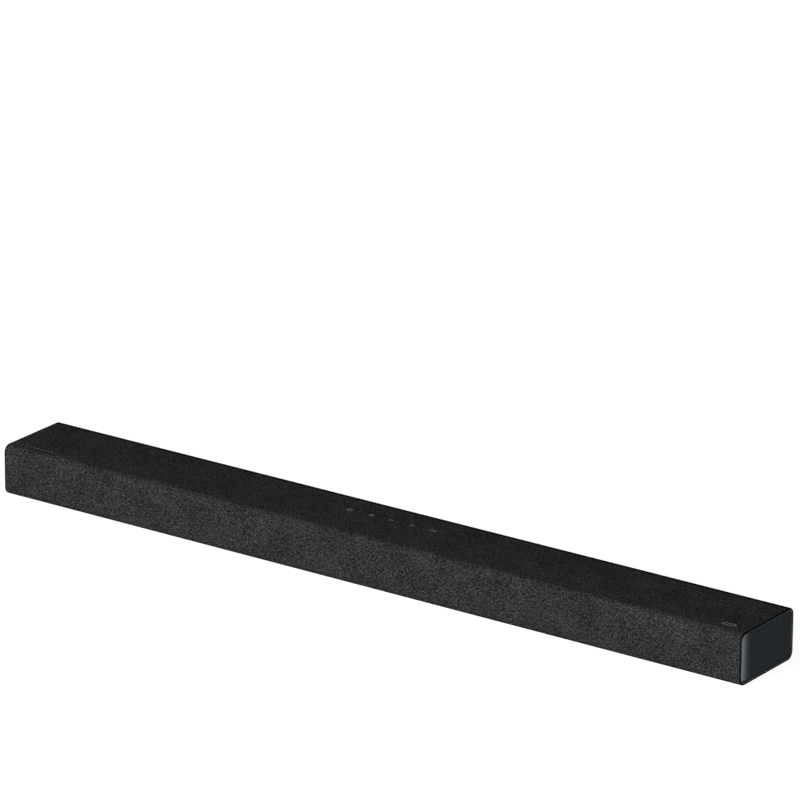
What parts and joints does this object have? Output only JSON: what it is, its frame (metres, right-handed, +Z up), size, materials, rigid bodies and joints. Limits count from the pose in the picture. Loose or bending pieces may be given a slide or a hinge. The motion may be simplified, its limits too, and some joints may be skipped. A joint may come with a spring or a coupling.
{
  "type": "soundbar",
  "caption": "Long low soundbar wrapped in dark cloth over the front and top, with recessed satin end caps, touch-marked keys on top and a connector bay in the back.",
  "frame": {"origin": "middle of the bar's length and depth, on the plane its feet stand on", "axes": "+X along the bar towards the end on the right of someone facing the front, -Y out of the front, +Z up"},
  "size_m": [0.89, 0.094, 0.057],
  "materials": {
    "case_plastic": "fine grained black",
    "frame_plastic": "matt black",
    "cloth": "dark grey melange knit",
    "cap_plastic": "satin, brushed look",
    "foot_rubber": "matt",
    "black_screws": "blackened",
    "insert_brass": "turned",
    "box_plastic": "moulded",
    "foam": "open cell",
    "gasket_foam": "closed cell",
    "basket_steel": "satin black",
    "yoke_steel": "zinc plated",
    "magnet_ferrite": "dull",
    "cone_paper": "pressed pulp",
    "surround_rubber": "satin",
    "spider_cloth": "woven",
    "tweeter_plastic": "satin",
    "dome_silk": "coated silk",
    "dome_roll": "coated silk",
    "circuit_board": "solder mask",
    "power_circuit_board": "bare laminate",
    "components": "moulded",
    "sink_aluminium": "extruded",
    "window_smoke": "smoked",
    "bay_plastic": "fine grained black",
    "socket_metal": "plated",
    "socket_plastic": "moulded",
    "wire_insulation": "soft",
    "key_plastic": "satin"
  },
  "bodies": {
    "case": {"base_tray": "case_plastic", "back_panel": "case_plastic", "inner_supports": "frame_plastic", "grille_frame": "frame_plastic", "grille_cloth": "cloth", "end_cap_left": "cap_plastic", "end_cap_right": "cap_plastic", "rubber_feet": "foot_rubber", "case_screws": "black_screws", "wall_inserts": "insert_brass", "speaker_box_left": "box_plastic", "speaker_box_centre": "box_plastic", "speaker_box_right": "box_plastic", "box_lids": "box_plastic", "foam_pads": "foam", "driver_gaskets": "gasket_foam", "driver_screws": "black_screws", "woofer_left_frame": "basket_steel", "woofer_left_yoke": "yoke_steel", "woofer_left_magnet": "magnet_ferrite", "woofer_left_surround": "surround_rubber", "woofer_left_spider": "spider_cloth", "woofer_centre_frame": "basket_steel", "woofer_centre_yoke": "yoke_steel", "woofer_centre_magnet": "magnet_ferrite", "woofer_centre_surround": "surround_rubber", "woofer_centre_spider": "spider_cloth", "woofer_right_frame": "basket_steel", "woofer_right_yoke": "yoke_steel", "woofer_right_magnet": "magnet_ferrite", "woofer_right_surround": "surround_rubber", "woofer_right_spider": "spider_cloth", "tweeter_left_housing": "tweeter_plastic", "tweeter_left_surround": "dome_roll", "tweeter_right_housing": "tweeter_plastic", "tweeter_right_surround": "dome_roll", "main_board": "circuit_board", "power_board": "power_circuit_board", "amp_board": "circuit_board", "board_parts": "components", "heat_sink": "sink_aluminium", "key_board": "circuit_board", "display_board": "circuit_board", "display_window": "window_smoke", "connector_bay": "bay_plastic", "hdmi_sockets": "socket_metal", "optical_socket": "socket_plastic", "usb_socket": "socket_metal", "mains_inlet": "socket_plastic", "wiring": "wire_insulation"},
    "left_woofer_cone": {"woofer_left_cone": "cone_paper"},
    "centre_woofer_cone": {"woofer_centre_cone": "cone_paper"},
    "right_woofer_cone": {"woofer_right_cone": "cone_paper"},
    "left_tweeter_dome": {"tweeter_left_dome": "dome_silk"},
    "right_tweeter_dome": {"tweeter_right_dome": "dome_silk"},
    "power_key": {"key_power": "key_plastic"},
    "source_key": {"key_source": "key_plastic"},
    "volume_down_key": {"key_volume_down": "key_plastic"},
    "volume_up_key": {"key_volume_up": "key_plastic"},
    "pairing_key": {"key_pairing": "key_plastic"}
  },
  "joints": [
    {"name": "left_woofer_stroke", "type": "slide", "parent": "case", "child": "left_woofer_cone", "axis": [0, -1, 0], "range_m": [-0.0025, 0.0025], "stiffness_N_per_m": 1500, "deforming": ["woofer_left_surround", "woofer_left_spider"]},
    {"name": "centre_woofer_stroke", "type": "slide", "parent": "case", "child": "centre_woofer_cone", "axis": [0, -1, 0], "range_m": [-0.0025, 0.0025], "stiffness_N_per_m": 1500, "deforming": ["woofer_centre_surround", "woofer_centre_spider"]},
    {"name": "right_woofer_stroke", "type": "slide", "parent": "case", "child": "right_woofer_cone", "axis": [0, -1, 0], "range_m": [-0.0025, 0.0025], "stiffness_N_per_m": 1500, "deforming": ["woofer_right_surround", "woofer_right_spider"]},
    {"name": "left_tweeter_stroke", "type": "slide", "parent": "case", "child": "left_tweeter_dome", "axis": [0, -1, 0], "range_m": [-0.0002, 0.0002], "stiffness_N_per_m": 400, "deforming": ["tweeter_left_surround"]},
    {"name": "right_tweeter_stroke", "type": "slide", "parent": "case", "child": "right_tweeter_dome", "axis": [0, -1, 0], "range_m": [-0.0002, 0.0002], "stiffness_N_per_m": 400, "deforming": ["tweeter_right_surround"]},
    {"name": "power_key_press", "type": "slide", "parent": "case", "child": "power_key", "axis": [0, 0, -1], "range_m": [0, 0.0005], "stiffness_N_per_m": 1000},
    {"name": "source_key_press", "type": "slide", "parent": "case", "child": "source_key", "axis": [0, 0, -1], "range_m": [0, 0.0005], "stiffness_N_per_m": 1000},
    {"name": "volume_down_key_press", "type": "slide", "parent": "case", "child": "volume_down_key", "axis": [0, 0, -1], "range_m": [0, 0.0005], "stiffness_N_per_m": 1000},
    {"name": "volume_up_key_press", "type": "slide", "parent": "case", "child": "volume_up_key", "axis": [0, 0, -1], "range_m": [0, 0.0005], "stiffness_N_per_m": 1000},
    {"name": "pairing_key_press", "type": "slide", "parent": "case", "child": "pairing_key", "axis": [0, 0, -1], "range_m": [0, 0.0005], "stiffness_N_per_m": 1000}
  ]
}
